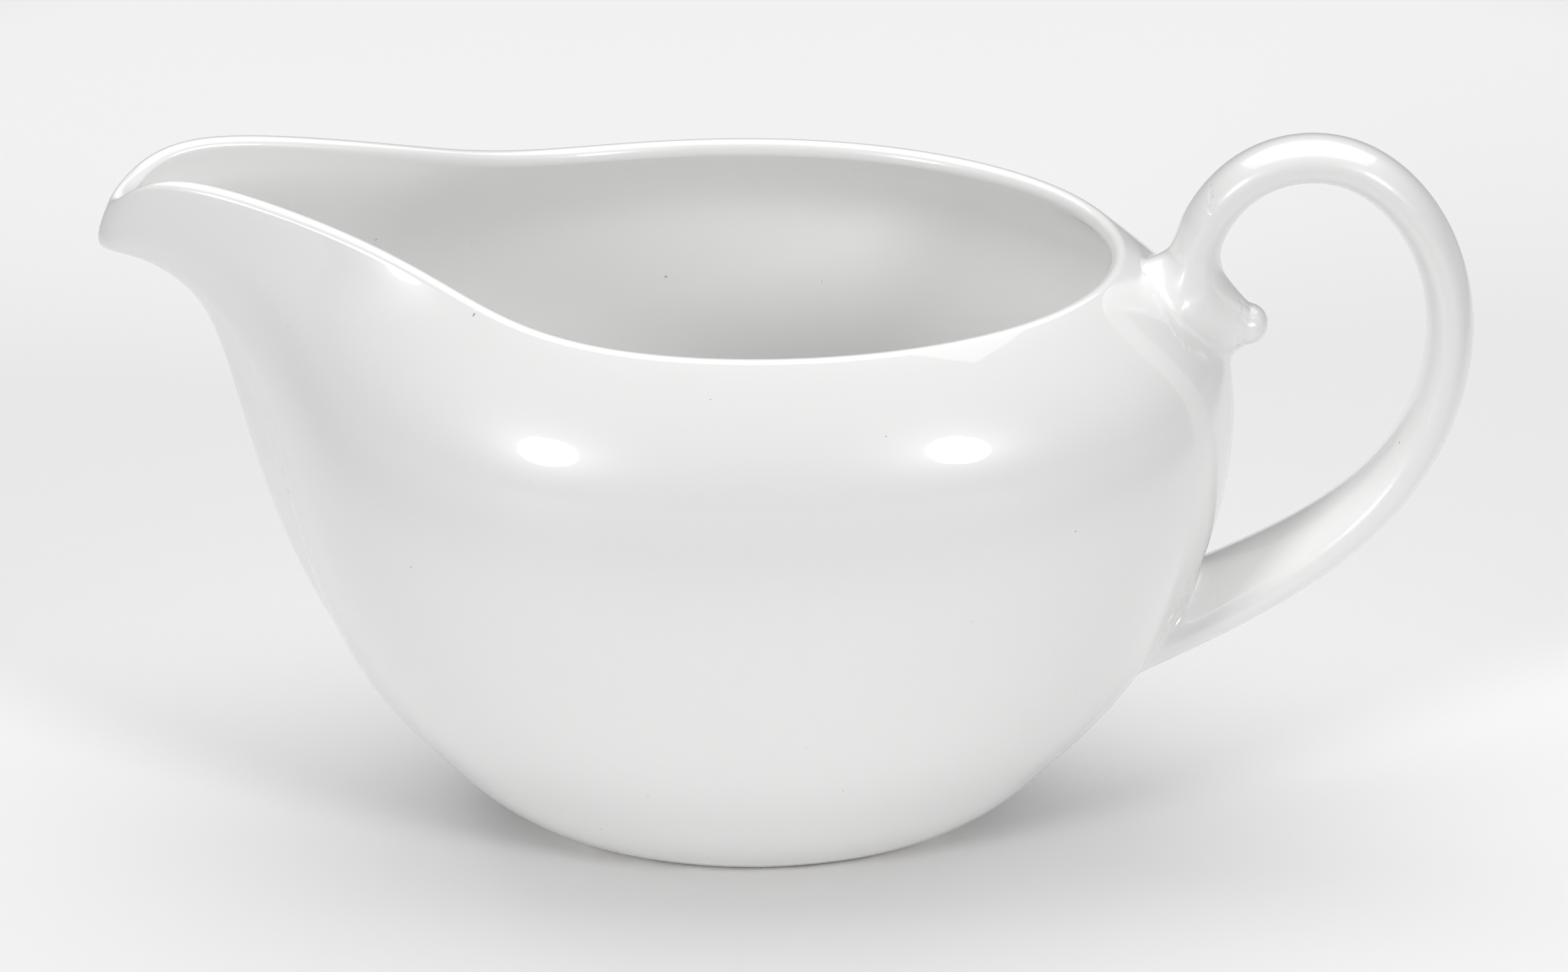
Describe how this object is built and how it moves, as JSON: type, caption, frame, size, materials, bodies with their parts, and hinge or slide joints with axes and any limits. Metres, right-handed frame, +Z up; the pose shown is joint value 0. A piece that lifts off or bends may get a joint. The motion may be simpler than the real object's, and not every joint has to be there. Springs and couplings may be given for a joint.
{
  "type": "gravy boat",
  "caption": "White glazed porcelain gravy boat: oval globe bowl drawn out into a pouring spout, strap handle with thumb spur, on a low foot ring.",
  "frame": {"origin": "on the standing surface, under the middle of the whole object's length and width", "axes": "+X from the spout's tip towards the handle, +Y to the left of a person who looks along +X, +Z up"},
  "size_m": [0.1948, 0.099, 0.1049],
  "materials": {
    "white_glaze": "clear gloss glaze on white porcelain",
    "handle_glaze": "clear gloss glaze on white porcelain",
    "joint_glaze": "clear gloss glaze pooled over porcelain slip",
    "bare_foot": "polished unglazed porcelain, matte"
  },
  "bodies": {
    "root": {"bowl": "white_glaze", "foot_ring": "bare_foot", "handle": "handle_glaze", "upper_slip_joint": "joint_glaze", "lower_slip_joint": "joint_glaze"}
  },
  "joints": []
}
